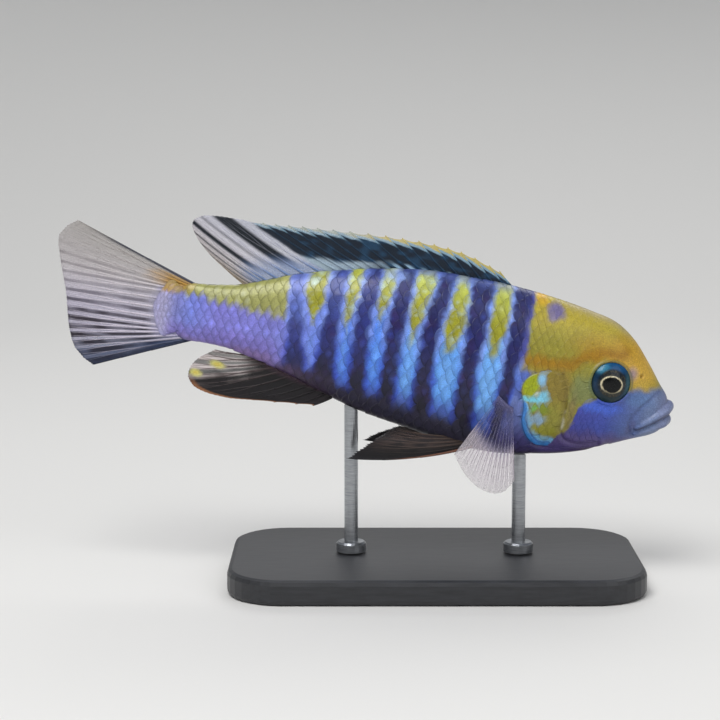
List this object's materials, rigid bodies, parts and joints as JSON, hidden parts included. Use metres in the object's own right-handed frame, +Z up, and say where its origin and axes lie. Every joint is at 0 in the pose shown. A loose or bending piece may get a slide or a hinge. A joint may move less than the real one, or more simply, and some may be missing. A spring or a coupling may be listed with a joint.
{
  "type": "display model of a cynotilapia zebroides fish",
  "caption": "Life-size model of a small barred cichlid fish swimming nose down, held above a flat base by two slim rods.",
  "frame": {"origin": "middle of the stand's underside, on the surface it stands on", "axes": "+X towards the fish's head, along its length; +Z up; +Y towards the fish's left side"},
  "size_m": [0.0991, 0.038, 0.0589],
  "materials": {
    "head_skin": "wet scaled skin, golden yellow",
    "cheek_skin": "wet skin, lilac blue",
    "flank_skin": "wet scaled skin, light blue with dark bars",
    "stalk_skin": "wet scaled skin, violet and olive",
    "eye": "polished dark eye",
    "dark_fin": "thin rayed fin, black",
    "pale_fin": "thin rayed fin, pale lilac grey",
    "stand_board": "satin charcoal",
    "stand_steel": "brushed steel rod"
  },
  "bodies": {
    "root": {"head": "head_skin", "lower_jaw": "cheek_skin", "gill_cover_right": "head_skin", "gill_cover_left": "head_skin", "trunk": "flank_skin", "tail_stalk": "stalk_skin", "eye_right": "eye", "eye_left": "eye", "dorsal_fin": "dark_fin", "anal_fin": "dark_fin", "pelvic_fin_right": "dark_fin", "pelvic_fin_left": "dark_fin", "tail_fin": "pale_fin", "pectoral_fin_right": "pale_fin", "pectoral_fin_left": "pale_fin", "stand_base": "stand_board", "stand_rod_front": "stand_steel", "stand_rod_rear": "stand_steel"}
  },
  "joints": []
}
